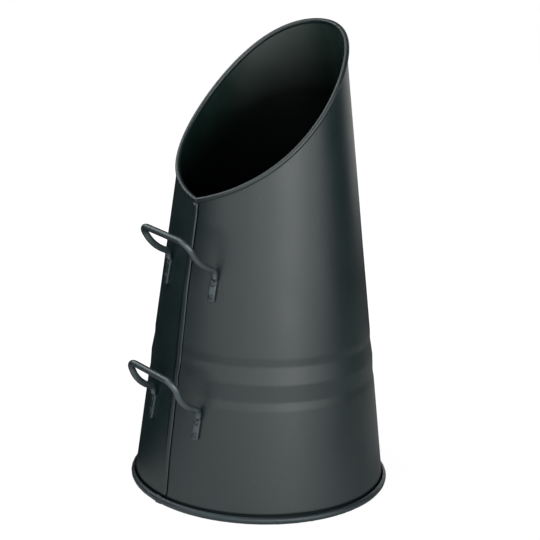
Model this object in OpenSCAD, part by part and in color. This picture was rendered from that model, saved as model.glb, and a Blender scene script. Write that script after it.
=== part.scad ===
/* [Body sheet] */
// Outer diameter of the sheet body where its wall would meet the floor
body_d = 300; // [240:2:360]
// Lean of the wall in from upright, in degrees
wall_lean = 7; // [4:0.5:9]
// Thickness of the rolled sheet steel
sheet_t = 0.9; // [0.7:0.1:1.5]

/* [Mouth] */
// Height of the rolled edge at the low lip, over the seam
lip_h = 353; // [335:1:400]
// Height of the rolled edge at the high back
back_h = 542; // [500:1:600]
// Rise that draws the low lip to a point at the seam
lip_point = 56; // [0:1:70]
// Bow of the mouth away from a straight cut, in and out on each side
mouth_bow = 3.2; // [0:0.1:6]
// Diameter of the wire inside the mouth's rolled edge
rim_wire_d = 4; // [3:0.5:6]
// Width of the open slit along the outside of the rolled edge
rim_slit = 1.2; // [0.8:0.1:2]

/* [Swages] */
// Height of the middle of the swaged band
swage_z = 157; // [150:1:170]
// Height between the bottoms of its two grooves
swage_span = 40; // [30:1:50]
// Height from a groove's bottom to the plain wall
swage_run = 9.5; // [6:0.5:14]
// Depth of the two grooves
groove_depth = 1; // [0.5:0.1:2]
// Rise of the ridge between them
ridge_rise = 0.8; // [0.4:0.1:2]

/* [Lock seam] */
// Width of the folded seam
seam_w = 8; // [6:0.5:12]
// How far the folded seam stands out of the wall
seam_rise = 1.7; // [1.4:0.1:2.2]
// Width of the ramp where the sheet steps out under the fold
seam_ramp = 1.6; // [1:0.1:3]
// Radius of the fold's free edge
seam_edge_r = 0.6; // [0.3:0.1:0.8]
// Height of the gap that is left under the fold's free edge
seam_nip = 0.3; // [0.2:0.05:0.4]

/* [Foot ring] */
// Outside diameter of the rolled ring's own section
foot_bead_d = 9; // [8:0.5:12]
// How far the middle of that section lies outside the wall
foot_out = 0.5; // [0.2:0.1:1]
// Height dressed flat off the ring's underside, so that it stands firm
foot_flat = 0.35; // [0.2:0.05:0.5]
// Angle from the seam round to the ring's lapped joint
joint_turn = 2.2; // [1:0.1:8]
// Length of the lap
lap_l = 6; // [4:0.5:12]
// How far the lap stands proud of the ring
lap_rise = 0.5; // [0.3:0.1:0.8]

/* [Base pan] */
// Height of the pan's top face above the floor
pan_h = 13; // [12:0.5:30]
// Inside radius where the pan turns down into its rim
pan_corner_r = 2; // [1:0.5:4]

/* [Handles] */
// Diameter of the handle rod
rod_d = 7.2; // [6:0.2:9]
// Distance between the middles of a handle's two legs
handle_span = 81; // [66:1:90]
// Height where the lower handle's legs leave the wall
lower_handle_z = 117.5; // [112:0.5:120]
// Height where the upper handle's legs leave the wall
upper_handle_z = 276; // [260:0.5:285]
// Middle-line radius of the bend out of the wall
root_bend_r = 9.5; // [6:0.5:12]
// Angle above level at which a leg leaves the wall
leg_start = 22; // [5:1:30]
// Angle above level at which the lower handle's legs reach its grip
lower_leg_end = 63; // [50:0.5:75]
// The same for the upper handle, which was bent a little flatter
upper_leg_end = 54.5; // [50:0.5:75]
// Length of the leg's curve
leg_l = 37; // [34:0.5:50]
// Middle-line radius of the corners between the legs and the grip
corner_r = 16.5; // [9:0.5:18]
// Angle by which each handle was riveted out of level
handle_skew = 4.5; // [0:0.5:6]

/* [Handle tabs and rivets] */
// Length of the flattened tab from the bend down to its end
tab_l = 29.5; // [28:0.5:40]
// Width of the flattened tab
tab_w = 8.6; // [8.2:0.1:11]
// Thickness of the flattened tab
tab_t = 3.6; // [2.5:0.1:4.5]
// Length over which the rod changes from round to flat
tab_taper = 4; // [3:0.5:7]
// Diameter of the rivet shanks
rivet_d = 4.8; // [4:0.2:5]
// Diameter of the domed rivet heads
rivet_head_d = 6.8; // [6.4:0.1:7.6]
// Height of the domed rivet heads
rivet_head_h = 1.9; // [1.4:0.1:2.4]
// Diameter of the flat closed ends inside the body
rivet_tail_d = 7.6; // [6.6:0.1:9]
// Thickness of the flat closed ends
rivet_tail_t = 1.2; // [0.8:0.1:2]
// Distance between the two rivets of a tab
rivet_pitch = 15; // [12:0.5:16]
// Distance from the lower rivet to the end of the tab
rivet_end = 7; // [5:0.5:8]

/* [Fits] */
// Gap between pieces that are closed or riveted together
seat_gap = 0.05; // [0.03:0.01:0.1]
// Gap round the sheet edges that the foot ring is closed over
ring_gap = 0.15; // [0.1:0.05:0.3]
// Height of the sheet edges above the inside of the foot ring
edge_lift = 0.4; // [0.2:0.1:0.6]

/* [Hidden] */
$fn = 96;

// Steps of the shapes that are carried round the mouth, and of the small round corners
rim_steps = 96;
curl_steps = 10;
wire_sides = 8;
corner_steps = 6;
hull_fn = 32;
join = 0.04;
over = 1;

satin_black = [0.20, 0.22, 0.22];
rod_black = [0.30, 0.33, 0.34];
rivet_black = [0.38, 0.41, 0.42];

rod_r = rod_d / 2;
rim_hollow_r = rim_wire_d / 2 + seat_gap;
rim_bead_r = rim_hollow_r + sheet_t;

// The wall's outer surface is a cone, less what the swages move in and out
function wall_r(z) = body_d / 2 - z * tan(wall_lean);
function around(a, r, z) = [r * sin(a), -r * cos(a), z];
function arc(centre, r, from, turn, steps) =
    [for (i = [0:steps]) let (a = from + turn * i / steps) centre + r * [cos(a), sin(a)]];

// Heights in the foot: the ring's middle and top, and the sheet edges held in its hollow
foot_bead_r = foot_bead_d / 2;
foot_bead_z = foot_bead_r - foot_flat;
foot_top_z = foot_bead_z + foot_bead_r;
foot_ring_r = wall_r(foot_bead_z) + foot_out;
foot_hollow_r = foot_bead_r - sheet_t;
held_out = foot_out + 2 * sheet_t + ring_gap;
sheet_edge_z = foot_bead_z - sqrt(pow(foot_hollow_r, 2) - pow(held_out, 2)) + edge_lift;

// Heights of the wall's creases from its edge in the foot ring to above the mouth, each with its move outward
wall_top_z = back_h + 2 * rim_bead_r;
swage_rows = [
    [swage_z - swage_span / 2 - swage_run, 0],
    [swage_z - swage_span / 2, -groove_depth],
    [swage_z, ridge_rise],
    [swage_z + swage_span / 2, -groove_depth],
    [swage_z + swage_span / 2 + swage_run, 0]];
function wall_rows(foot_z) = concat([[foot_z, 0]], swage_rows, [[wall_top_z, 0]]);
function wall_line(inset) = [for (row = wall_rows(sheet_edge_z)) [wall_r(row[0]) + row[1] - inset, row[0]]];

// Height of the mouth's rolled edge, at an angle round from the seam
mouth_swing = (lip_h - back_h - 2 * mouth_bow + lip_point) / 2;
mouth_mean = lip_h - mouth_swing - mouth_bow;
function mouth_z(a) = mouth_mean + mouth_swing * cos(a) + mouth_bow * cos(3 * a) + lip_point * abs(sin(a / 2));

// Middle line of the rolled edge, and the directions out of the wall and up along it
function unit(v) = v / norm(v);
function rim_point(a) = around(a, wall_r(mouth_z(a)), mouth_z(a));
function out_of_wall(a) = around(a, cos(wall_lean), sin(wall_lean));
function up_wall(a) = unit(cross(out_of_wall(a), rim_point(a + 1) - rim_point(a - 1)));
function rim_place(a, p) = rim_point(a) + p[0] * out_of_wall(a) + p[1] * up_wall(a);
rim_turns = [for (i = [0:rim_steps - 1]) i * 360 / rim_steps];

// A closed section carried round the mouth's edge
module round_mouth(section) {
    n = len(section);
    points = [for (a = rim_turns) for (p = section) rim_place(a, p)];
    faces = [for (i = [0:rim_steps - 1]) for (j = [0:n - 1])
        let (here = i * n, next = (i + 1) % rim_steps * n, k = (j + 1) % n)
        each [[here + j, next + k, here + k], [here + j, next + j, next + k]]];
    polyhedron(points, faces);
}

// The sheet's own edge, curled in and over the wire and down to an open slit outside
module mouth_curl() {
    start = -91;
    turn = 361 - asin(rim_slit / rim_bead_r);
    outside = arc([0, 0], rim_bead_r, start, -turn, curl_steps);
    inside = arc([0, 0], rim_hollow_r, start - turn, turn, curl_steps);
    round_mouth(concat(outside, inside));
}

// All that lies above the wall's cut edge, half way into the curl's sheet
module above_mouth() {
    reach = 4 * rim_bead_r;
    edge = -(rim_hollow_r + sheet_t / 2);
    top_z = wall_top_z + over;
    points = concat(
        [[0, 0, mouth_mean], [0, 0, top_z]],
        [for (a = rim_turns) rim_place(a, [-reach, edge])],
        [for (a = rim_turns) rim_place(a, [reach, edge])],
        [for (a = rim_turns) around(a, body_d / 2, top_z)]);
    faces = [for (i = [0:rim_steps - 1])
        let (j = (i + 1) % rim_steps, in = 2, out = 2 + rim_steps, top = 2 + 2 * rim_steps)
        each [[0, in + i, in + j], [in + i, out + i, out + j, in + j],
            [out + i, top + i, top + j, out + j], [1, top + j, top + i]]];
    polyhedron(points, faces);
}

// The rolled sheet with its swages, before its mouth is cut
module plain_wall() {
    inner = wall_line(sheet_t);
    rotate_extrude()
        polygon(concat(wall_line(0), [for (i = [len(inner) - 1:-1:0]) inner[i]]));
}

// Section of the lock seam: a ramp on one side, a round folded edge over a thin gap on the other
module seam_section() {
    half = seam_w / 2;
    root = -sheet_t / 2;
    nip_depth = seam_w / 5;
    edge = arc([half - seam_edge_r, seam_rise - seam_edge_r], seam_edge_r, 90, -90, corner_steps);
    under = [[half, 2 * seam_nip], [half - nip_depth, 2 * seam_nip], [half - nip_depth, seam_nip],
        [half - seam_nip, seam_nip], [half - seam_nip, root]];
    mirror([0, 1]) polygon(concat([[-half, root], [-half, 0], [seam_ramp - half, seam_rise]], edge, under));
}

// The lock seam follows the wall in and out over the swages, in one straight run to each crease
module lock_seam() {
    rows = wall_rows(foot_top_z + ring_gap);
    for (i = [0:len(rows) - 2]) {
        low = [wall_r(rows[i][0]) + rows[i][1], rows[i][0]];
        rise = rows[i + 1][0] - low[1];
        lean = atan2(low[0] - wall_r(rows[i + 1][0]) - rows[i + 1][1], rise);
        intersection() {
            translate([0, -low[0], low[1]]) rotate([-lean, 0, 0]) translate([0, 0, -over])
                linear_extrude(rise / cos(lean) + 2 * over) seam_section();
            translate([-seam_w, -body_d, low[1]]) cube([2 * seam_w, body_d, rise]);
        }
    }
}

// One sheet: wall, seam and curled mouth edge, with the bores for the handles' rivets
module body_shell() color(satin_black) {
    difference() {
        union() {
            plain_wall();
            lock_seam();
        }
        above_mouth();
        rivet_bores(upper_handle_z);
        rivet_bores(lower_handle_z);
    }
    mouth_curl();
}

module rim_wire() color(rivet_black)
    round_mouth(arc([0, 0], rim_wire_d / 2, 0, 360 / wire_sides - 360, wire_sides - 1));

// A flat floor turned down into a rim that lies inside the wall and ends in the foot ring
module base_pan() color(satin_black) {
    rim_t = sheet_t / cos(wall_lean);
    bend_z = pan_h - sheet_t - pan_corner_r;
    bend_r = pan_rim_r(bend_z) - (pan_corner_r + sheet_t) / cos(wall_lean);
    edge_r = pan_rim_r(sheet_edge_z);
    turn = 90 - wall_lean;
    rotate_extrude() polygon(concat(
        [[0, pan_h]],
        arc([bend_r, bend_z], pan_corner_r + sheet_t, 90, -turn, corner_steps),
        [[edge_r, sheet_edge_z], [edge_r - rim_t, sheet_edge_z]],
        arc([bend_r, bend_z], pan_corner_r, wall_lean, turn, corner_steps),
        [[0, pan_h - sheet_t]]));
}
function pan_rim_r(z) = wall_r(z) - sheet_t - seat_gap;

// Section of the foot ring: rolled strip, open at the top for the two sheet edges, flat underneath
module foot_section(outer_r) {
    slot_out = wall_r(foot_bead_z) + ring_gap;
    slot_in = pan_rim_r(foot_top_z) - sheet_t - 2 * ring_gap;
    difference() {
        translate([foot_ring_r, foot_bead_z]) circle(outer_r);
        translate([foot_ring_r, foot_bead_z]) circle(foot_hollow_r);
        translate([slot_in, foot_bead_z]) square([slot_out - slot_in, foot_bead_d]);
        translate([foot_ring_r - foot_bead_d, -foot_bead_d]) square([2 * foot_bead_d, foot_bead_d]);
    }
}

module foot_ring() color(satin_black) {
    lap_turn = lap_l / foot_ring_r * 180 / PI;
    rotate_extrude() foot_section(foot_bead_r);
    rotate([0, 0, -90 - joint_turn - lap_turn / 2])
        rotate_extrude(angle = lap_turn) foot_section(foot_bead_r + lap_rise);
}

// Handle places: where a leg leaves the wall, and how much lower one tab sits than the middle
leg_out = rod_r + seat_gap;
tab_drop = handle_span / 2 * sin(handle_skew);
function leg_r(z) = wall_r(z) + leg_out * cos(wall_lean);
function leg_turn(z) = asin(handle_span / 2 / leg_r(z));

// The frame of a tab: its middle line at the top, up the wall, with -Y straight out of the wall, and turned
// out of level with its handle
module tab_place(z, side) {
    tab_z = z - side * tab_drop;
    rotate([0, 0, side * leg_turn(tab_z)]) translate([0, -wall_r(tab_z), tab_z])
        rotate([-wall_lean, 0, 0]) rotate([0, handle_skew, 0])
            children();
}

// The frame of a leg's root, turned out of level with the whole loop about the wall's normal
module loop_place(z, side) {
    seam_point = [0, -wall_r(z), z];
    root = around(side * leg_turn(z), leg_r(z), z + leg_out * sin(wall_lean));
    translate(seam_point) rotate([-wall_lean, 0, 0]) rotate([0, handle_skew, 0]) rotate([wall_lean, 0, 0])
        translate(root - seam_point) rotate([-wall_lean, 0, 0])
            children();
}

// A bend of the rod from +Z towards -Y; what follows starts at its end. Two runs of the rod would only
// touch where they meet, so a thin disc a hair wider joins them
module bend(r, turn) {
    trim = join / r * 180 / PI;
    rotate([90, 0, 90]) translate([-r, 0, 0]) rotate([0, 0, trim])
        rotate_extrude(angle = turn - 2 * trim) translate([r, 0]) circle(rod_r);
    translate([0, r * (cos(turn) - 1), r * sin(turn)]) rotate([turn, 0, 0]) {
        cylinder(h = 10 * join, r = rod_r + join, center = true);
        children();
    }
}

// A bend in another direction, given as a turn about the rod
module bend_to(way, r, turn) {
    rotate([0, 0, way]) bend(r, turn) rotate([0, 0, -way]) children();
}

// One side of the loop: out of the wall, up in a long curve and round the corner; one side holds the grip
module half_loop(side, leg_end) {
    root_turn = 90 + wall_lean - leg_start;
    leg_turn = leg_end - leg_start;
    leg_curve_r = leg_l / leg_turn * 180 / PI;
    bend(root_bend_r, root_turn)
        bend_to(180, leg_curve_r, leg_turn)
            bend_to(side * -90, corner_r, 90)
                if (side > 0) translate([0, 0, join]) cylinder(h = handle_span - 2 * corner_r - 2 * join, r = rod_r);
}

// The rod end hammered flat against the wall, with a rounded lower end
module tab_blade() {
    corner = tab_w / 4;
    blade_l = tab_l - tab_taper;
    translate([0, -seat_gap, -tab_l]) rotate([90, 0, 0]) linear_extrude(tab_t) {
        translate([-tab_w / 2, corner]) square([tab_w, blade_l - corner]);
        translate([corner - tab_w / 2, 0]) square([tab_w - 2 * corner, blade_l]);
        for (x = [corner - tab_w / 2, tab_w / 2 - corner])
            translate([x, corner]) circle(corner);
    }
}

// The change from round rod to flat tab: its top is a hair wider than the rod, its foot a hair inside the tab
module tab_shoulder(z, side) {
    slice = 5 * join;
    hull() {
        loop_place(z, side)
            cylinder(h = 2 * slice, r = (rod_r + join) / cos(180 / hull_fn), center = true, $fn = hull_fn);
        tab_place(z, side) translate([join - tab_w / 2, join - seat_gap - tab_t, -tab_taper - 2 * slice])
            cube([tab_w - 2 * join, tab_t - 2 * join, slice]);
    }
}

module each_rivet(z, side) {
    for (up = [0, rivet_pitch])
        tab_place(z, side) translate([0, 0, rivet_end + up - tab_l]) rotate([90, 0, 0]) children();
}

module rivet_bores(z) {
    for (side = [-1, 1])
        each_rivet(z, side) translate([0, 0, -2 * over - sheet_t])
            cylinder(h = sheet_t + tab_t + 4 * over, r = rivet_d / 2 + seat_gap);
}

module handle(z, leg_end) color(rod_black) difference() {
    for (side = [-1, 1]) {
        loop_place(z, side) half_loop(side, leg_end);
        tab_shoulder(z, side);
        tab_place(z, side) tab_blade();
    }
    rivet_bores(z);
}

// A shank through tab and wall, with a domed head outside and a flat closed end inside
module rivet(z) {
    head_base = 2 * seat_gap + tab_t;
    head_r = rivet_head_d / 2;
    dome_r = (head_r * head_r + rivet_head_h * rivet_head_h) / (2 * rivet_head_h);
    wall_sag = rivet_tail_d * rivet_tail_d / (8 * wall_r(z));
    tail_base = -(sheet_t + wall_sag + seat_gap);
    translate([0, 0, tail_base]) cylinder(h = head_base - tail_base, r = rivet_d / 2);
    translate([0, 0, tail_base - rivet_tail_t]) cylinder(h = rivet_tail_t, r = rivet_tail_d / 2);
    translate([0, 0, head_base]) intersection() {
        translate([0, 0, rivet_head_h - dome_r]) sphere(dome_r);
        cylinder(h = rivet_head_h, r = head_r);
    }
}

module handle_rivets(z) color(rivet_black)
    for (side = [-1, 1]) each_rivet(z, side) rivet(z);

body_shell();
rim_wire();
base_pan();
foot_ring();
handle(upper_handle_z, upper_leg_end);  // upper_handle
handle(lower_handle_z, lower_leg_end);  // lower_handle
handle_rivets(upper_handle_z);  // upper_handle_rivets
handle_rivets(lower_handle_z);  // lower_handle_rivets
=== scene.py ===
"""A tapered black fireside hod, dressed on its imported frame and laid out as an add-on."""

from math import atan2, ceil, cos, degrees, exp, pi, radians, sin, sqrt, tan
import bmesh
import bpy
from bpy.props import FloatProperty, FloatVectorProperty, PointerProperty
from mathutils import Matrix, Vector, noise


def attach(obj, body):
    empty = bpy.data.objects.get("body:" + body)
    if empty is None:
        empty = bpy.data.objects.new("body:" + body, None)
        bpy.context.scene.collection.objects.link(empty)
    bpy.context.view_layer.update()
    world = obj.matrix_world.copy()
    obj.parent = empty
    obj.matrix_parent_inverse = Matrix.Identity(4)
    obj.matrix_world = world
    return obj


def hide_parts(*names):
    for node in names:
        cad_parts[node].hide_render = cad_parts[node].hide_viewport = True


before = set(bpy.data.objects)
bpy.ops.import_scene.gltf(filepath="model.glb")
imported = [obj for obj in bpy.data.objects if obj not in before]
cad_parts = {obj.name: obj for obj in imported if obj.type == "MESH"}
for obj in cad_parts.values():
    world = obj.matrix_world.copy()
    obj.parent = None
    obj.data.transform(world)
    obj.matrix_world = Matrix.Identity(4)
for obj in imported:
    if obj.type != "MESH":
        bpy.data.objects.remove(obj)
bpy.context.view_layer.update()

bl_info = {
    "name": "Fireside Hod",
    "version": (1, 0, 0),
    "blender": (4, 5, 0),
    "location": "View3D > Sidebar > Hod",
    "description": "Builds a tapered sheet-steel hod with two riveted rod handles on its packed frame",
    "category": "Add Mesh",
}

MM = 0.001
WHITE = (1, 1, 1, 1)


def property_maker(kind, **kept):
    """Gives a function that makes properties of this kind, which a user may change."""

    def make(name, default, description):
        return kind(name=name, default=default, description=description, **kept)

    return make


length = property_maker(FloatProperty, min=0, precision=5, unit="LENGTH")
share = property_maker(FloatProperty, min=0, max=1, subtype="FACTOR")
power = property_maker(FloatProperty, min=0, unit="POWER")
colour = property_maker(FloatVectorProperty, min=0, max=1, subtype="COLOR")


def angle(name, default, description):
    """An angle, given here in degrees, that a user may change."""
    return FloatProperty(name=name, default=radians(default), description=description, subtype="ANGLE")


class HodBodySizes(bpy.types.PropertyGroup):
    """Sizes of the rolled sheet, its mouth, its swages and its seam."""

    body_radius: length("Body radius", 0.150, "Outer radius where the wall would meet the floor")
    wall_lean: angle("Wall lean", 7, "Lean of the wall in from upright")
    sheet: length("Sheet", 0.9 * MM, "Thickness of the steel sheet")
    foot_edge: length("Foot edge", 1.91 * MM, "Height of the sheet's lower edge")
    lip_height: length("Lip height", 0.353, "Height of the rolled edge over the seam")
    back_height: length("Back height", 0.542, "Height of the rolled edge at the back")
    lip_point: length("Lip point", 0.056, "Rise that draws the low lip to a point")
    mouth_bow: length("Mouth bow", 3.2 * MM, "Bow of the mouth away from a straight cut")
    curl_radius: length("Curl radius", 2.95 * MM, "Outside radius of the rolled edge")
    wire_radius: length("Wire radius", 2.05 * MM, "Radius of the hollow that the wire fills")
    slit_start: angle("Slit start", -62, "Turn of the curl's free edge from outward")
    swage_height: length("Swage height", 0.157, "Height of the middle of the swaged band")
    swage_span: length("Swage span", 0.040, "Height between the bottoms of its two grooves")
    swage_run: length("Swage run", 9.5 * MM, "Height from a groove's bottom to the plain wall")
    groove_depth: length("Groove depth", 0.70 * MM, "Depth of the two grooves")
    ridge_rise: length("Ridge rise", 0.55 * MM, "Rise of the ridge between them")
    seam_top: length("Seam top", 4.2 * MM, "Width of the flat top of the lock seam")
    seam_ramp: length("Seam ramp", 2.4 * MM, "Width of the soft ramp on its left")
    seam_rise: length("Seam rise", 1.9 * MM, "Rise of the folded seam out of the wall")
    seam_nose: length("Seam nose", 0.8 * MM, "Lean of the folded edge on its right")
    seam_bow: length("Seam bow", 1.7 * MM, "Bow of the seam to the right at its middle")
    seam_slip: length("Seam slip", 1.8 * MM, "Drift of the seam to the right towards the foot")
    stiff_rise: length("Stiff end rise", 2.0 * MM, "Rise of the sheet's ends beside the seam")
    neck_depth: length("Neck depth", 0.8 * MM, "Depth of the neck just above the foot ring")
    dent_depth: length("Dent depth", 0.11 * MM, "Depth of the sheet's slow waves")


class HodFootSizes(bpy.types.PropertyGroup):
    """Sizes of the rolled ring round the foot."""

    bead_radius: length("Bead radius", 4.5 * MM, "Outside radius of the ring's own section")
    hollow_radius: length("Hollow radius", 3.6 * MM, "Radius of the hollow inside it")
    bead_height: length("Bead height", 4.15 * MM, "Height of the middle of the section")
    middle_radius: length("Middle radius", 149.99 * MM, "Radius of the ring to the middle of its section")
    lip_turn: angle("Lip turn", 80, "Place of the strip's outer lip round the section")
    lap_start: angle("Lap start", -3.3, "Turn from the seam to the far end of the lap")
    lap_end: angle("Lap end", -0.3, "Turn from the seam to the near end of the lap")
    lap_rise: length("Lap rise", 1.2 * MM, "How far the lap stands proud of the ring")
    lumps: length("Lumps", 0.34 * MM, "Depth of the hammered unevenness")


class HodHandleSizes(bpy.types.PropertyGroup):
    """Sizes of the two rod handles with their hammered tabs, and of the rivets."""

    rod_radius: length("Rod radius", 3.8 * MM, "Radius of the handle rod")
    span: length("Span", 0.081, "Distance between the middles of the two legs")
    upper_height: length("Upper height", 0.276, "Height where the upper handle leaves the wall")
    lower_height: length("Lower height", 0.1175, "Height where the lower handle leaves the wall")
    root_bend: length("Root bend", 9.5 * MM, "Middle-line radius of the bend out of the wall")
    leg_start: angle("Leg start", 22, "Angle above level at which a leg leaves the wall")
    upper_leg_end: angle("Upper leg end", 54.5, "The same where the upper legs reach their grip")
    lower_leg_end: angle("Lower leg end", 63, "The same where the lower legs reach their grip")
    leg: length("Leg", 0.0364, "Length of the leg's long curve")
    corner: length("Corner", 0.0138, "Middle-line radius of the corners beside the grip")
    leg_tip: length("Leg tip", 2.6 * MM, "Straight end of the leg before the corner")
    skew: angle("Skew", 4.5, "Turn of each handle out of level")
    seat: length("Seat", 0.05 * MM, "Gap between a tab and the wall")
    tab_length: length("Tab length", 0.0295, "Length of the flattened tab")
    tab_uneven: length("Tab unevenness", 2.2 * MM, "Extra length of the left tab, which the right one lacks")
    tab_slip: length("Tab slip", 1.2 * MM, "Shift of the right tab towards the seam")
    tab_width: length("Tab width", 8.6 * MM, "Width of the flattened tab")
    tab_thickness: length("Tab thickness", 3.6 * MM, "Thickness of the flattened tab")
    tab_taper: length("Tab taper", 4 * MM, "Length of the change from round to flat")
    rivet_radius: length("Rivet head radius", 3.4 * MM, "Radius of the domed rivet heads")
    rivet_rise: length("Rivet head rise", 1.9 * MM, "Height of the heads before the hammer flattened them")
    rivet_tail: length("Rivet tail radius", 3.8 * MM, "Radius of the closed ends inside the body")
    tail_rise: length("Rivet tail rise", 1.2 * MM, "Thickness of the closed ends")
    rivet_pitch: length("Rivet pitch", 0.015, "Distance between the two rivets of a tab")
    rivet_end: length("Rivet end", 7 * MM, "Distance from the lower rivet to the tab's end")


class HodFinishes(bpy.types.PropertyGroup):
    """Colours and gloss of the paint and of the plain wire."""

    sheet_paint: colour("Sheet paint", (0.0015, 0.0075, 0.0080), "Satin black paint on the sheet")
    rod_paint: colour("Rod paint", (0.005, 0.010, 0.012), "Black paint on the forged rod")
    inside_paint: colour("Inside paint", (0.001, 0.006, 0.0045), "Thin paint inside the body")
    # This colour is painted shade: a dark matt laid in the seam's crevices, just above the foot ring and deep
    # inside
    painted_shade: colour("Soot", (0.0006, 0.0006, 0.0006), "Dirt in the crevices, and soot deep inside")
    dust: colour("Dust", (0.16, 0.17, 0.16), "Pale specks of dust")
    wire_steel: colour("Wire steel", (0.30, 0.30, 0.31), "Plain drawn wire")
    sheet_roughness: share("Sheet roughness", 0.42, "Roughness of the sheet's paint")
    rod_roughness: share("Rod roughness", 0.43, "Roughness of the rod's paint")
    inside_roughness: share("Inside roughness", 0.45, "Roughness of the sooty inside")


class HodStage(bpy.types.PropertyGroup):
    """The floor, the lamps and the camera."""

    floor_paint: colour("Floor", (0.86, 0.86, 0.86), "The pale floor")
    key_power: power("Key power", 83, "Broad, tall soft box on the right")
    core_power: power("Core power", 17.5, "Narrow, brighter soft box in the middle of the key")
    fill_power: power("Fill power", 37, "Broad, tall soft box on the left")
    side_power: power("Side power", 14, "Soft box far round on the right, for the dark side and the back")
    top_power: power("Top power", 23, "Soft box overhead, a little to the left")
    high_power: power("High power", 10, "Small soft box high on the left, for the line of light on the rods")
    room_light: share("Room light", 0.008, "Light of the plain room round the set")
    camera_turn: angle("Camera turn", 46.7, "Turn of the camera from the seam")
    camera_away: length("Camera distance", 1.7025, "Level distance from the axis to the camera")
    camera_height: length("Camera height", 0.7174, "Height of the camera")
    camera_pitch: angle("Camera pitch", 14.41, "How far the camera looks down")
    camera_roll: angle("Camera roll", 1.6, "How far the camera leans")
    camera_lens: FloatProperty(name="Lens", description="Focal length", default=100, min=1, unit="CAMERA")


# Shader work: sums are Python expressions on Value, and every other node comes from Finish.node


class Value:
    """A socket of a material that sums work on."""

    def __init__(self, finish, socket):
        self.finish = finish
        self.socket = socket

    def __add__(self, other):
        return self.finish.math("ADD", self, other)

    def __rsub__(self, other):
        return self.finish.math("SUBTRACT", other, self)

    def __mul__(self, other):
        return self.finish.math("MULTIPLY", self, other)


class Finish:
    """The nodes of a material or of the world, in the making."""

    def __init__(self, holder):
        self.holder = holder
        self.holder.use_nodes = True
        self.tree = holder.node_tree
        self.tree.nodes.clear()

    def node(self, kind, settings, inputs, output=0):
        """Adds and sets a node, feeds its sockets and gives back one of its outputs, if it has any."""
        made = self.tree.nodes.new(kind)
        for name, setting in settings.items():
            setattr(made, name, setting)
        for key, value in inputs.items():
            if isinstance(value, Value):
                self.tree.links.new(value.socket, made.inputs[key])
            else:
                made.inputs[key].default_value = value
        return Value(self, made.outputs[output]) if made.outputs else None

    def math(self, operation, first, second):
        return self.node("ShaderNodeMath", {"operation": operation}, {0: first, 1: second})

    def place(self):
        """The point on the piece, in metres."""
        return self.node("ShaderNodeTexCoord", {}, {}, "Object")

    def away(self, point):
        """How far this point is, in metres."""
        settings = {"operation": "DISTANCE"}
        return self.node("ShaderNodeVectorMath", settings, {0: self.place(), 1: point}, "Value")

    def ray(self, kind):
        """One for this kind of ray, such as Is Camera Ray, and nought for others."""
        return self.node("ShaderNodeLightPath", {}, {}, kind)

    def mark(self, name):
        """A number that the mesh carries for each of its points."""
        return self.node("ShaderNodeAttribute", {"attribute_name": name}, {}, "Fac")

    def grain(self, size, detail=2.0):
        """Cloudy noise from nought to one, with clouds about this big, in metres."""
        made = {"Vector": self.place(), "Scale": 1 / size, "Detail": detail}
        return self.node("ShaderNodeTexNoise", {}, made, "Fac")

    def between(self, value, low, high, start=0.0, end=1.0):
        """Carries low to high over to start to end, smoothly and without going past."""
        settings = {"interpolation_type": "SMOOTHSTEP"}
        return self.node("ShaderNodeMapRange", settings, {0: value, 1: low, 2: high, 3: start, 4: end})

    def blend(self, factor, first, second):
        """A mix of two colours."""
        return self.node("ShaderNodeMix", {"data_type": "RGBA"}, {"Factor": factor, 6: first, 7: second}, 2)

    def choose(self, factor, first, second):
        """A mix of two surfaces."""
        return self.node("ShaderNodeMixShader", {}, {0: factor, 1: first, 2: second})

    def glow(self, strength):
        return self.node("ShaderNodeEmission", {}, {"Color": WHITE, "Strength": strength})

    def matt(self, rgb):
        return self.node("ShaderNodeBsdfDiffuse", {}, {"Color": with_alpha(rgb)})

    def bumps(self, height, distance):
        """A surface roughened by this height, from nought to one, over this distance in metres."""
        return self.node("ShaderNodeBump", {}, {"Height": height, "Distance": distance})

    def skin(self, **sockets):
        """A Principled surface."""
        named = {name.replace("_", " "): value for name, value in sockets.items()}
        return self.node("ShaderNodeBsdfPrincipled", {}, named)

    def close(self, surface, end="ShaderNodeOutputMaterial"):
        """Ends the nodes with this surface and gives back what they are of."""
        self.node(end, {}, {"Surface": surface})
        return self.holder


def with_alpha(rgb, strength=1.0):
    return (*(strength * part for part in rgb), 1.0)


def new_finish(name):
    return Finish(bpy.data.materials.new(name))


def paint_on_sheet(finishes):
    """Satin black paint on sheet: soft clouds, fine spray grain, specks of dust, and painted shade in the
    seam's crevices and just above the foot ring.
    """
    made = new_finish("satin_black_sheet")
    clouds = made.grain(0.06, 3)
    spray = made.grain(0.0011)
    dust = made.between(made.grain(0.0016, 1), 0.75, 0.785)
    paint = made.blend(clouds, with_alpha(finishes.sheet_paint, 0.85), with_alpha(finishes.sheet_paint, 1.15))
    rough = finishes.sheet_roughness
    surface = made.skin(
        Base_Color=made.blend(dust * 0.4, paint, with_alpha(finishes.dust)),
        Roughness=made.between(clouds, 0.2, 0.8, rough - 0.03, rough + 0.04) + dust * 0.2,
        Normal=made.bumps(spray, 0.014 * MM),
    )
    # Painted shade: where the mesh's mask says, the paint gives way to a dark matt
    return made.close(made.choose(made.mark("grime"), surface, made.matt(finishes.painted_shade)))


def paint_inside(finishes):
    """Thin smoked paint inside the body, lost in painted shade where it is deep."""
    made = new_finish("dull_black_inside")
    smoke = made.grain(0.03, 4)
    plain, smoked = with_alpha(finishes.inside_paint), with_alpha(finishes.inside_paint, 2.5)
    rough = finishes.inside_roughness
    surface = made.skin(
        Base_Color=made.blend(smoke, plain, smoked),
        Roughness=made.between(smoke, 0.2, 0.8, rough - 0.08, rough + 0.08),
        Normal=made.bumps(made.grain(0.002, 3), 0.05 * MM),
    )
    # Painted shade: deep inside, the paint gives way to a dark matt
    return made.close(made.choose(made.mark("grime"), surface, made.matt(finishes.painted_shade)))


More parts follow.
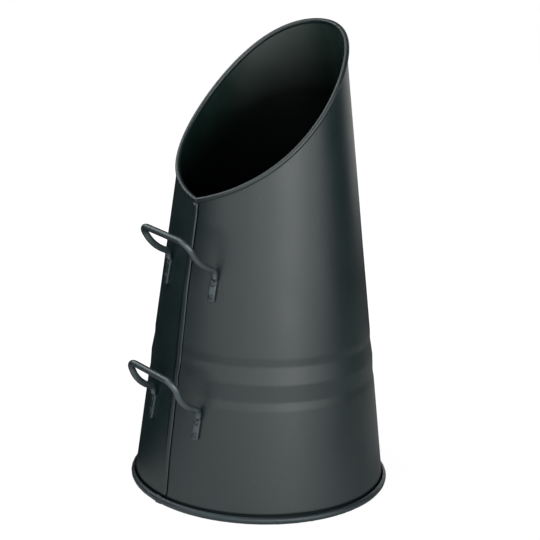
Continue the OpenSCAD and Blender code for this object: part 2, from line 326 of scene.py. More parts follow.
def paint_on_rod(finishes, name, hammer, gloss=0.5):
    """Black paint over forged iron: hammer marks this deep, scale under the paint, and rubbed patches."""
    made = new_finish(name)
    marks = made.grain(0.0045)
    scale = made.grain(0.0012, 3)
    rubbed = made.between(made.grain(0.007, 3), 0.55, 0.75)
    rough = finishes.rod_roughness
    surface = made.skin(
        Base_Color=made.blend(rubbed, with_alpha(finishes.rod_paint), with_alpha(finishes.rod_paint, 1.7)),
        Roughness=made.between(scale, 0.25, 0.75, rough - 0.06, rough + 0.10),
        Specular_IOR_Level=gloss,
        Specular_Tint=(0.84, 0.96, 1.0, 1.0),
        Normal=made.bumps(marks * 0.7 + scale * 0.3, hammer),
    )
    return made.close(surface)


def drawn_wire(finishes):
    """Plain drawn wire with a little rust."""
    made = new_finish("drawn_wire")
    rust = made.between(made.grain(0.004, 4), 0.5, 0.75)
    surface = made.skin(
        Base_Color=made.blend(rust, with_alpha(finishes.wire_steel), (0.16, 0.09, 0.05, 1)),
        Metallic=1 - rust * 0.8,
        Roughness=made.between(rust, 0, 1, 0.35, 0.8),
    )
    return made.close(surface)


# Places and forms: lengths are in metres, and a turn goes round from the seam


def move(across, outward, up):
    return Matrix.Translation((across, outward, up))


def tilt(turn, axis):
    return Matrix.Rotation(turn, 4, axis)


def around(turn, radius, height):
    return Vector((radius * sin(turn), -radius * cos(turn), height))


def turn_of(point):
    return atan2(point.x, -point.y)


def mix(first, last, part):
    """The value at this part of the straight way from first to last."""
    return first + (last - first) * part


def smooth(low, high, value):
    """Nought below low, one above high, and an S between them."""
    part = min(max((value - low) / (high - low), 0.0), 1.0)
    return part * part * (3 - 2 * part)


def within(start, whole, going, gone, value):
    """Comes up from nought to one between the first two values, and goes down again between the last two."""
    return smooth(start, whole, value) * (1 - smooth(going, gone, value))


def bell(value, width):
    return exp(-((value / width) ** 2))


def wall_radius(body, height):
    return body.body_radius - height * tan(body.wall_lean)


# How soft the low lip's point is, and the steps that a swage's creases are rounded over
POINT_SOFTNESS, CREASE_STEP = 0.006, 0.45 * MM


def mouth_height(body, turn):
    """Height of the rolled edge's middle line."""
    swing = (body.lip_height - body.back_height - 2 * body.mouth_bow + body.lip_point) / 2
    mean = body.lip_height - swing - body.mouth_bow
    point = sqrt(sin(turn / 2) ** 2 + POINT_SOFTNESS**2) - POINT_SOFTNESS
    return mean + swing * cos(turn) + body.mouth_bow * cos(3 * turn) + body.lip_point * point


def rim_place(body, turn, out, up):
    """A point beside the rolled edge's middle line: so far out of the wall, and so far up along it."""

    def middle(turn):
        height = mouth_height(body, turn)
        return around(turn, wall_radius(body, height), height)

    outward = around(turn, cos(body.wall_lean), sin(body.wall_lean))
    step = radians(0.4)
    upward = outward.cross(middle(turn + step) - middle(turn - step)).normalized()
    return middle(turn) + out * outward + up * upward


def swage_offset(body, height):
    """How far the swages move the wall outward at this height, with their creases rounded."""
    half = body.swage_span / 2
    rows = [
        (-half - body.swage_run, 0.0),
        (-half, -body.groove_depth),
        (0.0, body.ridge_rise),
        (half, -body.groove_depth),
        (half + body.swage_run, 0.0),
    ]

    def straight(level):
        for (low, start), (high, end) in zip(rows, rows[1:]):
            if low <= level <= high:
                return mix(start, end, (level - low) / (high - low))
        return 0.0

    spread = [step * CREASE_STEP for step in (-2, -1, 0, 1, 2)]
    return sum(straight(height - body.swage_height + shift) for shift in spread) / len(spread)


# The seam lies on the close steps of the spin, and its parts begin at these shares of them
SEAM_REACH = radians(3.6)
RAMP_FROM, TOP_FROM, NOSE_FROM, NOSE_TO = -0.72, -0.30, 0.06, 0.45

# The seam's nose: the shares of its rise and its lean that it gives up, and how steep and round it is
NOSE_DROP, NOSE_BACK, NOSE_STEEPNESS, NOSE_ROUNDNESS = 0.55, 0.3, 1.2, 0.25
SEAM_CROWN = 0.03 * MM

# The swaged band presses the seam flatter within this reach, by this share of its rise
BAND_REACH, BAND_PRESS = 0.034, 0.25

# Heights where the seam comes up over the foot ring, and heights from the rolled edge's middle where it goes
SEAM_COMES, SEAM_GOES = (8.5 * MM, 13 * MM), (-5 * MM, -3 * MM)

# Height and reach of the seam's bow, and how far it wavers on the plain wall and in the band
BOW_HEIGHT, BOW_REACH = 0.200, 0.060
PLAIN_WAVER, BAND_WAVER = 0.35 * MM, 0.45 * MM

# Painted shade in the crevice under the nose: where it starts, thins out and ends; a painted dark line at the
# ramp's foot: how dark, how far in, wide and high
SHADE_FROM, SHADE_THINS, SHADE_ENDS = 0.32, 2.2 * MM, 3.0 * MM
RAMP_SHADE, RAMP_INSET, RAMP_REACH, RAMP_HEIGHTS = 0.85, 0.5 * MM, 1.0 * MM, (0.045, 0.085)


def seam_section(body, part, edge, whole, rise):
    """Where a share of the close steps lies on the folded section: across from its middle, and outward."""
    nose = body.seam_nose * whole
    right = body.seam_top / 2
    foot = right + body.seam_ramp

    def along(first, last):
        return (part - first) / (last - first)

    if part < RAMP_FROM:
        return mix(-edge, -foot, along(-1, RAMP_FROM)), 0.0
    if part < TOP_FROM:
        way = along(RAMP_FROM, TOP_FROM)
        return -foot + body.seam_ramp * way, rise * smooth(0, 1, way)
    if part < NOSE_FROM:
        way = along(TOP_FROM, NOSE_FROM)
        return mix(-right, right, way), rise + SEAM_CROWN * whole * sin(pi * way)
    if part < NOSE_TO:
        way = 2 * along(NOSE_FROM, NOSE_TO)
        if way < 1:
            return right + nose * way, rise * (1 - NOSE_DROP * way**NOSE_STEEPNESS)
        lean = 1 + NOSE_ROUNDNESS * sin(pi * (way - 1)) - NOSE_BACK * (way - 1)
        return right + nose * lean, (1 - NOSE_DROP) * rise * (2 - way)
    return mix(right + (1 - NOSE_BACK) * nose, edge, along(NOSE_TO, 1)), 0.0


def seam_waver(body, height, band):
    """How far the hand-closed seam strays to the right at this height."""
    waver = PLAIN_WAVER * noise.noise(Vector((0.0, 3.1, height * 28)))
    waver += band * BAND_WAVER * sin((height - body.swage_height) * 190)
    waver += body.seam_bow * bell(height - BOW_HEIGHT, BOW_REACH)
    return waver + body.seam_slip * (1 - height / body.lip_height)


def seam_place(body, turn, height):
    """Where a close step lies on the folded seam: its turn, how far out of the wall, and how much painted
    shade it takes.
    """
    radius = wall_radius(body, height)
    edge = SEAM_REACH * radius
    part = turn / SEAM_REACH
    band = bell(height - body.swage_height, BAND_REACH)
    whole = 1 - smooth(*SEAM_GOES, height - mouth_height(body, turn))
    whole *= smooth(*SEAM_COMES, height)
    rise = body.seam_rise * (1 - BAND_PRESS * band) * whole
    across, out = seam_section(body, part, edge, whole, rise)
    waver = seam_waver(body, height, band) * (1 - part**2) ** 2
    across = mix(part * edge, across + waver, whole)
    beside = across - waver
    right = body.seam_top / 2
    # Painted shade: a dark line in the crevice under the nose, and another at the ramp's foot
    crevice_shade = smooth(SHADE_FROM, NOSE_TO, part) * (1 - smooth(right + SHADE_THINS, right + SHADE_ENDS, beside))
    ramp = bell(beside + right + body.seam_ramp - RAMP_INSET, RAMP_REACH)
    crevice_shade += RAMP_SHADE * ramp * smooth(*RAMP_HEIGHTS, height)
    return across / radius, out, crevice_shade * whole


# Places of the small dents: turn from the seam in degrees, height, reach and depth
DENTS = [
    (-2, 0.338, 0.017, 0.90 * MM),
    (13, 0.326, 0.016, 0.22 * MM),
    (25, 0.338, 0.020, -0.12 * MM),
    (20, 0.247, 0.014, 0.18 * MM),
    (-19, 0.250, 0.014, 0.20 * MM),
    (17, 0.093, 0.013, 0.18 * MM),
    (-17, 0.096, 0.013, 0.18 * MM),
    (46, 0.070, 0.030, 0.10 * MM),
    (150, 0.300, 0.040, 0.20 * MM),
    (215, 0.180, 0.035, 0.18 * MM),
    (260, 0.330, 0.030, 0.16 * MM),
]


# Heights where the slow waves and dents come up, and heights from the rolled edge's middle where they go
WAVES_COME, WAVES_GO = (0.012, 0.040), (-0.020, -0.004)

# How far the stiff ends reach to the left and right of the seam, and the heights where they come and go
STIFF_LEFT, STIFF_RIGHT = 0.030, 0.013
STIFF_HEIGHTS = (0.015, 0.070, 0.245, 0.290)


def stiff_end(body, turn, height):
    """How far the sheet's ends, which rollers can't bend quite round, stand off beside the seam."""
    beside = turn * wall_radius(body, height)
    stand = exp(-beside / STIFF_RIGHT) if beside > 0 else exp(beside / STIFF_LEFT)
    return body.stiff_rise * stand * within(*STIFF_HEIGHTS, height)


def dents(body, turn, height):
    """The slow waves, small dents and stiff ends of sheet that was rolled and hammered by hand."""
    turn = (turn + pi) % (2 * pi) - pi
    waves = smooth(*WAVES_COME, height) * (1 - smooth(*WAVES_GO, height - mouth_height(body, turn)))
    wave = noise.noise(Vector((cos(turn) * 2.1, sin(turn) * 2.1, height * 13)))
    total = body.dent_depth * wave
    for place, level, reach, depth in DENTS:
        away = (turn - radians(place) + pi) % (2 * pi) - pi
        far = sqrt((away * wall_radius(body, height)) ** 2 + (height - level) ** 2)
        if far < 3 * reach:
            total -= depth * bell(far, reach)
    return waves * total + stiff_end(body, turn, height)


# Tools that the pieces share


def finish_piece(name, materials, slot, node, shape, *sizes, crease=38):
    """Makes a piece of this shape, smooth but for its creases, and puts it in the place of a CAD node."""
    bm = bmesh.new()
    shape(bm, *sizes)
    for edge in bm.edges:
        edge.smooth = len(edge.link_faces) != 2 or edge.calc_face_angle() < radians(crease)
    for face in bm.faces:
        face.smooth = True
    mesh = bpy.data.meshes.new(name)
    bm.to_mesh(mesh)
    bm.free()
    for material in materials:
        mesh.materials.append(material)
    piece = bpy.data.objects.new(name, mesh)
    bpy.context.scene.collection.objects.link(piece)
    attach(piece, "root")
    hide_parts(node)


def spin_round(bm, points, middle, fine, steps, fine_steps):
    """Spins a closed line of (radius, height) right round, with close steps within fine of the middle turn.

    Each point keeps its number on the line in the layer called place.
    """
    layer = bm.verts.layers.int.new("place")
    verts = [bm.verts.new(around(middle + fine, radius, height)) for radius, height in points]
    for number, vert in enumerate(verts):
        vert[layer] = number
    edges = [bm.edges.new((verts[i - 1], verts[i])) for i in range(len(verts))]
    spun = {"axis": (0, 0, 1), "cent": (0, 0, 0), "use_merge": False}
    last = bmesh.ops.spin(bm, geom=verts + edges, angle=2 * (pi - fine), steps=steps, **spun)["geom_last"]
    bmesh.ops.spin(bm, geom=last, angle=2 * fine, steps=fine_steps, **spun)
    bmesh.ops.remove_doubles(bm, verts=bm.verts, dist=0.001 * MM)
    bmesh.ops.recalc_face_normals(bm, faces=bm.faces)


# The pieces


# The wall between these heights is stretched up to the slanted mouth
STRETCH_FROM, STRETCH_TO = 0.204, 0.460

# Rows of the wall: by the foot ring in millimetres, even, close in the swaged band, even up to the mouth, and
# the last ones by their shares of the way down from it
NECK_ROWS = (6, 8, 8.8, 9.6, 10.4, 11.2, 12, 13, 15, 20)
PLAIN_FROM, PLAIN_ROWS = 0.027, 12
BAND_MARGIN, BAND_ROW = 0.004, 1.3 * MM
STRETCH_ROWS = 21
LAST_ROWS = (0.026, 0.015, 0.007, 0)

# Steps round the hod and close steps at the seam; then steps round the curl, and where it ends in degrees
BODY_STEPS, SEAM_STEPS = 250, 72
CURL_STEPS, CURL_END = 30, 252


def body_profile(body):
    """The sheet's section: wall rows (kind, inset, height), curl points (kind, outward, up), inner rows."""
    low = body.swage_height - body.swage_span / 2 - body.swage_run - BAND_MARGIN
    high = 2 * body.swage_height - low
    count = int(ceil((high - low) / BAND_ROW))
    rows = [body.foot_edge] + [level * MM for level in NECK_ROWS]
    rows += [mix(PLAIN_FROM, low, step / PLAIN_ROWS) for step in range(PLAIN_ROWS)]
    rows += [mix(low, high, step / count) for step in range(count + 1)]
    rows += [mix(STRETCH_FROM, STRETCH_TO, step / STRETCH_ROWS) for step in range(STRETCH_ROWS)]
    rows += [mix(STRETCH_TO, STRETCH_FROM, part) for part in LAST_ROWS]
    wall = [("wall", 0.0, height) for height in rows]
    inner = [("wall", body.sheet, height) for height in rows[:-len(LAST_ROWS)][::-2]]
    first = degrees(body.slit_start)
    curl = [("curl", body.wire_radius * cos(radians(first)), body.wire_radius * sin(radians(first)))]
    for step in range(CURL_STEPS + 1):
        place = radians(mix(first, CURL_END, step / CURL_STEPS))
        curl.append(("curl", body.curl_radius * cos(place), body.curl_radius * sin(place)))
    return wall, curl, inner


def rim_swell(beside):
    """How much thicker the rolled edge is where it takes in the folded seam, with a nip beside the fold."""
    return 1 + 0.10 * bell(beside - 1 * MM, 3 * MM) - 0.16 * bell(beside - 3.6 * MM, 0.7 * MM)


def shape_body(bm, body):
    """Spins the section, then carries each point to its place on the wall or round the slanted mouth."""
    grime = bm.verts.layers.float.new("grime")
    wall, curl, inner = body_profile(body)
    profile = wall + curl + inner
    drawn = []
    for kind, across, along in profile:
        if kind == "wall":
            drawn.append((wall_radius(body, along) - across, along))
        else:
            drawn.append((wall_radius(body, STRETCH_TO) + across, STRETCH_TO + along))
    spin_round(bm, drawn, 0.0, SEAM_REACH, BODY_STEPS, SEAM_STEPS)
    layer = bm.verts.layers.int["place"]
    for face in bm.faces:
        face.material_index = int(max(vert[layer] for vert in face.verts) >= len(wall + curl))
    for vert in bm.verts:
        turn = turn_of(vert.co)
        kind, across, along = profile[vert[layer]]
        if kind == "wall":
            vert.co, vert[grime] = wall_place(body, turn, across, along)
        else:
            swell = rim_swell(turn * body.body_radius)
            vert.co = rim_place(body, turn, across * swell, along * swell)


def stretched(body, turn, inset, row):
    """Height and turn of a wall point; rows above the band are stretched up to the slanted mouth."""
    if row <= STRETCH_FROM:
        return row, turn
    part = (row - STRETCH_FROM) / (STRETCH_TO - STRETCH_FROM)
    edge = rim_place(body, turn, -inset, -body.wire_radius if inset == 0 else -0.95 * body.curl_radius)
    side = (turn_of(edge) - turn + pi) % (2 * pi) - pi
    return mix(STRETCH_FROM, edge.z, part), turn + side * part**4


# Heights where the wall draws in behind the foot ring and comes out again above it
NECK_HEIGHTS = (4 * MM, 7 * MM, 9.2 * MM, 11.6 * MM)

# Painted shade just above the ring, with the heights where it thins out, and painted shade inside, with the
# depths where it comes up
RING_SHADE, RING_SHADE_HEIGHTS = 0.6, (9.2 * MM, 11 * MM)
DEEP_SHADE, DEEP_SHADE_DEPTHS = 0.94, (-15 * MM, 92 * MM)


def wall_place(body, turn, inset, row):
    """The place of a wall point, and how much painted shade it takes there."""
    height, shifted = stretched(body, turn, inset, row)
    out, grime = -inset / cos(body.wall_lean), 0.0
    if inset == 0:
        if abs(turn) < SEAM_REACH:
            turn, rise, grime = seam_place(body, turn, height)
            height, shifted = stretched(body, turn, inset, row)
            out += rise
        out -= body.neck_depth * within(*NECK_HEIGHTS, height)
        # Painted shade in the seam's crevices and just above the foot ring
        grime = max(0.9 * grime, RING_SHADE * (1 - smooth(*RING_SHADE_HEIGHTS, height)))
    else:
        # Painted shade inside, growing darker below the mouth
        grime = DEEP_SHADE * smooth(*DEEP_SHADE_DEPTHS, mouth_height(body, turn) - height)
    radius = wall_radius(body, height) + out + swage_offset(body, height) + dents(body, shifted, height)
    return around(shifted, radius, height), grime


# Where the strip's inner end lies round the section, on its outside and in its hollow
STRIP_END, HOLLOW_END = radians(-226), radians(-207)
STRIP_STEPS, HOLLOW_STEPS = 40, 18
RING_STEPS, LAP_STEPS, LAP_REACH = 300, 56, radians(3.4)

# The lap: how soft its edges are, what share of its rise it loses to its near end, and the nip beside that
LAP_SOFTNESS, LAP_SLOPE = 0.2 * MM, 0.7
NIP_DEPTH, NIP_PLACE, NIP_REACH = 0.35 * MM, 0.5 * MM, 0.35 * MM
FLAT_BELOW = 0.05 * MM


def shape_ring(bm, foot):
    """Rolled strip with an open slot on top, flat where it stands, lumpy outside, with one lap."""
    points = []
    for radius, first, last, steps in (
        (foot.bead_radius, foot.lip_turn, STRIP_END, STRIP_STEPS),
        (foot.hollow_radius, HOLLOW_END, foot.lip_turn, HOLLOW_STEPS),
    ):
        for step in range(steps + 1):
            place = mix(first, last, step / steps)
            height = max(foot.bead_height + radius * sin(place), 0.0)
            points.append((foot.middle_radius + radius * cos(place), height))
    spin_round(bm, points, (foot.lap_start + foot.lap_end) / 2, LAP_REACH, RING_STEPS, LAP_STEPS)
    edge = LAP_SOFTNESS / foot.middle_radius
    for vert in bm.verts:
        turn = turn_of(vert.co)
        axis = around(turn, foot.middle_radius, foot.bead_height)
        out = vert.co - axis
        if out.length < (foot.bead_radius + foot.hollow_radius) / 2 or vert.co.z < FLAT_BELOW:
            continue
        lumps = noise.noise(vert.co * 210) * 0.6 + noise.noise(vert.co * 620) * 0.4
        start, end = foot.lap_start, foot.lap_end
        lap = within(start - edge, start + edge, end - edge, end + edge, turn)
        lap *= 1 - LAP_SLOPE * (turn - start) / (end - start)
        nip = bell((turn - end) * foot.middle_radius - NIP_PLACE, NIP_REACH)
        shift = foot.lap_rise * lap - NIP_DEPTH * nip - foot.lumps * max(0.5 + lumps, 0.02)
        vert.co = axis + out * (1 + shift / out.length)
        vert.co.z = max(vert.co.z, 0.0)


class Stations:
    """Walks along a rod's middle line and keeps a frame at each stop; the rod runs along local Z."""

    def __init__(self, start):
        self.frame = start.copy()
        self.frames = [start.copy()]

    def bend(self, radius, turn, way, steps):
        """Bends from Z towards -Y, turned by way about the rod."""
        begin = self.frame @ tilt(way, "Z")
        for step in range(1, steps + 1):
            part = turn * step / steps
            stop = begin @ move(0, radius * (cos(part) - 1), radius * sin(part))
            self.frame = stop @ tilt(part, "X") @ tilt(-way, "Z")
            self.frames.append(self.frame)

    def straight(self, distance, steps):
        begin = self.frame
        for step in range(1, steps + 1):
            self.frame = begin @ move(0, 0, distance * step / steps)
            self.frames.append(self.frame)


def leg_out(handle):
    return handle.rod_radius + handle.seat


def leg_turn(body, handle, height):
    """Turn from the seam to a leg's root."""
    reach = wall_radius(body, height) + leg_out(handle) * cos(body.wall_lean)
    return atan2(handle.span / 2, sqrt(reach**2 - (handle.span / 2) ** 2))


def tab_frame(body, handle, height, side):
    """The frame of a tab: Z up the wall, -Y straight out of it, on the wall at the tab's top."""
    tab_height = height - side * handle.span / 2 * sin(handle.skew)
    turn = side * leg_turn(body, handle, tab_height)
    if side > 0:
        turn -= handle.tab_slip / wall_radius(body, height)
    top = tilt(turn, "Z") @ move(0, -wall_radius(body, tab_height), tab_height)
    return top @ tilt(-body.wall_lean, "X") @ tilt(handle.skew, "Y")


def loop_frame(body, handle, height, side):
    """The frame of a leg's root, with the whole loop turned out of level about the wall's normal."""
    seam = Vector((0, -wall_radius(body, height), height))
    reach = wall_radius(body, height) + leg_out(handle) * cos(body.wall_lean)
    rise = leg_out(handle) * sin(body.wall_lean)
    root = around(side * leg_turn(body, handle, height), reach, height + rise)
    leaning, upright = tilt(-body.wall_lean, "X"), tilt(body.wall_lean, "X")
    turned = leaning @ tilt(handle.skew, "Y") @ upright
    return move(*seam) @ turned @ move(*(root - seam)) @ leaning


# How square a section is: 2 is round, and a higher number is a flat with rounded corners
TAB_SQUARENESS = 4.5
ROD_SQUARENESS = 2.0
SECTION_POINTS = 40

# The edge of a tab's end is rounded over this length, down to this share of its thickness
TIP_ROUND, TIP_SHARE = 0.9 * MM, 0.75

# Steps along a handle, from a tab's rounded end to the middle of the grip
END_STEPS, BLADE_STEPS, TAPER_STEPS = 7, 16, 8
ROOT_STEPS, LEG_STEPS, LEG_TIP_STEPS, CORNER_STEPS, GRIP_STEPS = 14, 12, 2, 16, 5

# How deep the hammer marks are on the round rod, and how much deeper on the flat tabs
ROD_MARKS, TAB_MARKS = 0.05 * MM, 0.15 * MM


def half_handle(body, handle, height, leg_end, side):
    """Stops from a tab's lower end to the grip's middle, each (frame, half width, half depth, squareness)."""
    tab = tab_frame(body, handle, height, side)
    root = loop_frame(body, handle, height, side)
    half_width, half_depth = handle.tab_width / 2, handle.tab_thickness / 2
    corner = handle.tab_width / 4
    tab_length = handle.tab_length - side * handle.tab_uneven
    blade = tab_length - handle.tab_taper
    stops = []
    levels = [corner * (1 - cos(pi / 2 * step / END_STEPS)) for step in range(END_STEPS + 1)]
    levels += [corner + (blade - corner) * step / BLADE_STEPS for step in range(1, BLADE_STEPS + 1)]
    for level in levels:
        inward = max(corner - level, 0.0)
        width = half_width - corner + sqrt(corner**2 - inward**2)
        thinned = max(1 - level / TIP_ROUND, 0.0)
        depth = half_depth * mix(TIP_SHARE, 1, sqrt(1 - thinned**2))
        middle = tab @ move(0, -handle.seat - half_depth, level - tab_length)
        stops.append((middle, width, depth, TAB_SQUARENESS))
    flat = tab @ move(0, -handle.seat - half_depth, -handle.tab_taper)
    for step in range(1, TAPER_STEPS):
        part = step / TAPER_STEPS
        eased = smooth(0, 1, part)
        turned = flat.to_quaternion().slerp(root.to_quaternion(), eased).to_matrix().to_4x4()
        middle = move(*flat.translation.lerp(root.translation, part)) @ turned
        middle = middle @ move(0, (half_depth - handle.rod_radius) * (eased - part), 0)
        width = mix(half_width, handle.rod_radius, eased)
        depth = mix(half_depth, handle.rod_radius, eased)
        stops.append((middle, width, depth, mix(TAB_SQUARENESS, ROD_SQUARENESS, eased)))
    walk = Stations(root)
    walk.bend(handle.root_bend, pi / 2 + body.wall_lean - handle.leg_start, 0, ROOT_STEPS)
    sweep = leg_end - handle.leg_start
    walk.bend(handle.leg / sweep, sweep, pi, LEG_STEPS)
    walk.straight(handle.leg_tip, LEG_TIP_STEPS)
    walk.bend(handle.corner, pi / 2, -side * pi / 2, CORNER_STEPS)
    walk.straight(handle.span / 2 - handle.corner, GRIP_STEPS)
    stops += [(place, handle.rod_radius, handle.rod_radius, ROD_SQUARENESS) for place in walk.frames]
    return stops


def section_point(index, width, depth, squareness):
    """A point of a section between a round and a flat with rounded corners."""
    turn = 2 * pi * index / SECTION_POINTS
    across = width * abs(cos(turn)) ** (2 / squareness) * (1 if cos(turn) > 0 else -1)
    deep = depth * abs(sin(turn)) ** (2 / squareness) * (1 if sin(turn) > 0 else -1)
    return Vector((across, deep, 0))


def shape_handle(bm, body, handle, height, leg_end):
    """Sweeps a ring from tab to tab, mirrored in the right half; tabs and rod are a little uneven."""
    stops = half_handle(body, handle, height, leg_end, -1)
    for place, width, depth, squareness in half_handle(body, handle, height, leg_end, 1)[-2::-1]:
        stops.append((place, -width, depth, squareness))
    ring = bmesh.ops.create_circle(bm, cap_ends=False, radius=1, segments=SECTION_POINTS)["verts"]
    edges = list(bm.edges)
    rings = [ring]
    for _ in stops[1:]:
        grown = bmesh.ops.extrude_edge_only(bm, edges=edges)["geom"]
        edges = [part for part in grown if isinstance(part, bmesh.types.BMEdge) and part.is_boundary]
        rings.append([part for part in grown if isinstance(part, bmesh.types.BMVert)])
    for verts, (place, width, depth, squareness) in zip(rings, stops):
        flatness = (squareness - ROD_SQUARENESS) / (TAB_SQUARENESS - ROD_SQUARENESS)
        for index, vert in enumerate(verts):
            point = place @ section_point(index, width, depth, squareness)
            lump = noise.noise(point * 190) * (ROD_MARKS + TAB_MARKS * flatness)
            out = (point - place.translation).normalized()
            vert.co = point - out * max(lump, 0.0)
    bmesh.ops.holes_fill(bm, edges=bm.edges, sides=0)
    bmesh.ops.recalc_face_normals(bm, faces=bm.faces)


# A rivet's head: shares of its rise in its rim and its flattened dome, the dome's fullness, and the angles of
# its points; then its shank's share of its radius, and the depth of its hammer marks
RIM_SHARE, DOME_SHARE, DOME_FULLNESS = 0.1, 0.7, 0.8
DOME_ANGLES = (90, 78, 66, 54, 42, 30, 18, 8, 0)
SHANK_SHARE, RIVET_MARKS, RIVET_STEPS = 0.7, 0.16 * MM, 28


def rivet_outline(body, handle, height, base):
    """Half of a rivet's section as (radius, level), from the top of its head to its closed end."""
    head, rise, shank = handle.rivet_radius, handle.rivet_rise, handle.rivet_radius * SHANK_SHARE
    tail, foot = handle.rivet_tail, handle.tail_rise
    sag = tail**2 / (2 * wall_radius(body, height))
    wall = -(body.sheet + sag + handle.seat)
    outline = []
    for place in DOME_ANGLES:
        up = RIM_SHARE + DOME_SHARE * sin(radians(place)) ** DOME_FULLNESS
        outline.append((head * cos(radians(place)), base + rise * up))
    outline += [(head * 0.97, base), (shank, base), (shank, wall), (tail * 0.98, wall)]
    outline += [(tail, wall - 0.2 * MM), (tail, wall - foot + 0.3 * MM)]
    outline += [(tail * 0.92, wall - foot), (0.0, wall - foot)]
    return outline


def shape_rivets(bm, body, handle, height):
    """Four rivets: a hammered dome outside, a shank, and a flat closed end inside."""
    base = 2 * handle.seat + handle.tab_thickness
    outline = rivet_outline(body, handle, height, base)
    for side in (-1, 1):
        for number, up in enumerate((0, handle.rivet_pitch)):
            before = len(bm.verts)
            verts = [bm.verts.new((radius, 0, level)) for radius, level in outline]
            edges = [bm.edges.new(pair) for pair in zip(verts, verts[1:])]
            spun = {"axis": (0, 0, 1), "cent": (0, 0, 0), "angle": 2 * pi, "use_merge": True}
            bmesh.ops.spin(bm, geom=verts + edges, steps=RIVET_STEPS, **spun)
            place = tab_frame(body, handle, height, side)
            place = place @ move(0, 0, handle.rivet_end + up - handle.tab_length) @ tilt(pi / 2, "X")
            seed = Vector((side * 3.7 + height * 90, number * 5.3, 0))
            bm.verts.ensure_lookup_table()
            for vert in bm.verts[before:]:
                if vert.co.z > base:
                    vert.co.z -= RIVET_MARKS * max(noise.noise(vert.co * 330 + seed), 0)
                vert.co = place @ vert.co
    bmesh.ops.remove_doubles(bm, verts=bm.verts, dist=0.002 * MM)
    bmesh.ops.recalc_face_normals(bm, faces=bm.faces)


def dress(node, material):
    """Gives a CAD node that stays as it is its finish."""
    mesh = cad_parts[node].data
    mesh.materials.clear()
    mesh.materials.append(material)


class HOD_OT_rolled_body(bpy.types.Operator):
    """Make the rolled sheet with its swages, its lock seam and its curled mouth"""

    bl_idname = "hod.rolled_body"
    bl_label = "Rolled body"

    def execute(self, context):
        body, finishes = context.scene.hod_body, context.scene.hod_finishes
        materials = [paint_on_sheet(finishes), paint_inside(finishes)]
        finish_piece("rolled_body", materials, "painted_sheet", "body_shell", shape_body, body)
        return {"FINISHED"}


class HOD_OT_foot_ring(bpy.types.Operator):
    """Make the rolled ring that closes over the edges of wall and pan"""

    bl_idname = "hod.foot_ring"
    bl_label = "Foot ring"

    def execute(self, context):
        foot, finishes = context.scene.hod_foot, context.scene.hod_finishes
        materials = [paint_on_rod(finishes, "black_foot_ring", 0.25 * MM)]
        finish_piece("rolled_foot_ring", materials, "painted_sheet", "foot_ring", shape_ring, foot)
        return {"FINISHED"}


class HOD_OT_handles(bpy.types.Operator):
    """Make the two rod handles with their hammered tabs"""

    bl_idname = "hod.handles"
    bl_label = "Handles"

    def execute(self, context):
        body, handle = context.scene.hod_body, context.scene.hod_handles
        materials = [paint_on_rod(context.scene.hod_finishes, "black_forged_rod", 0.08 * MM, 1.0)]
        for name, node, height, leg_end in (
            ("upper_rod_handle", "upper_handle", handle.upper_height, handle.upper_leg_end),
            ("lower_rod_handle", "lower_handle", handle.lower_height, handle.lower_leg_end),
        ):
            sizes = (body, handle, height, leg_end)
            finish_piece(name, materials, "painted_rod", node, shape_handle, *sizes, crease=50)
        return {"FINISHED"}


class HOD_OT_rivets(bpy.types.Operator):
    """Make the hammered rivets through the tabs"""

    bl_idname = "hod.rivets"
    bl_label = "Rivets"

    def execute(self, context):
        body, handle = context.scene.hod_body, context.scene.hod_handles
        materials = [paint_on_rod(context.scene.hod_finishes, "black_rivet", 0.12 * MM)]
        for name, node, height in (
            ("upper_hammered_rivets", "upper_handle_rivets", handle.upper_height),
            ("lower_hammered_rivets", "lower_handle_rivets", handle.lower_height),
        ):
            finish_piece(name, materials, "painted_rivet", node, shape_rivets, body, handle, height)
        return {"FINISHED"}


class HOD_OT_kept_nodes(bpy.types.Operator):
    """Give the floor pan and the hidden wire, which keep their CAD shape, their finishes"""

    bl_idname = "hod.kept_nodes"
    bl_label = "Pan and wire"

    def execute(self, context):
        finishes = context.scene.hod_finishes
        dress("base_pan", paint_inside(finishes))
        dress("rim_wire", drawn_wire(finishes))
        return {"FINISHED"}


# Soft boxes: name, power, turn from the camera in degrees, distance from the axis, height, the height on the
# axis that it faces, width and own height
SOFT_BOXES = [
    ("key_box", "key_power", 31.5, 2.2, 1.1, 1.1, 4.0, 2.2),
    ("core_box", "core_power", 28.7, 2.15, 1.1, 1.1, 0.87, 2.2),
    ("fill_box", "fill_power", -38, 2.2, 1.1, 1.1, 2.5, 2.2),
    ("side_box", "side_power", 150, 2.2, 1.1, 1.1, 1.8, 2.2),
    ("top_box", "top_power", -85, 0.85, 1.9, 0.3, 1.6, 1.6),
    ("high_box", "high_power", -118, 1.7, 1.35, 0.25, 0.9, 0.7),
]


class HOD_OT_stage(bpy.types.Operator):
    """Make the pale floor, the soft boxes and the camera"""

    bl_idname = "hod.stage"
    bl_label = "Stage"

    def execute(self, context):
        stage = context.scene.hod_stage
        make_floor(stage)
        make_world(context.scene, stage)
        for name, watts, turn, away, height, aim, width, tall in SOFT_BOXES:
            place = around(stage.camera_turn + radians(turn), away, height)
            soft_box(name, getattr(stage, watts), place, aim, width, tall)
        make_camera(context.scene, stage)
        return {"FINISHED"}


def soft_box(name, watts, place, aim, width, tall):
    """A soft rectangular lamp that faces the hod's axis at this height."""
    lamp = bpy.data.lights.new(name, "AREA")
    lamp.shape = "RECTANGLE"
    lamp.size = width
    lamp.size_y = tall
    lamp.energy = watts
    holder = bpy.data.objects.new(name, lamp)
    bpy.context.scene.collection.objects.link(holder)
    holder.location = place
    holder.visible_camera = False
    holder.rotation_euler = (Vector((0, 0, aim)) - place).to_track_quat("-Z", "Y").to_euler()


FLOOR_RADIUS = 30

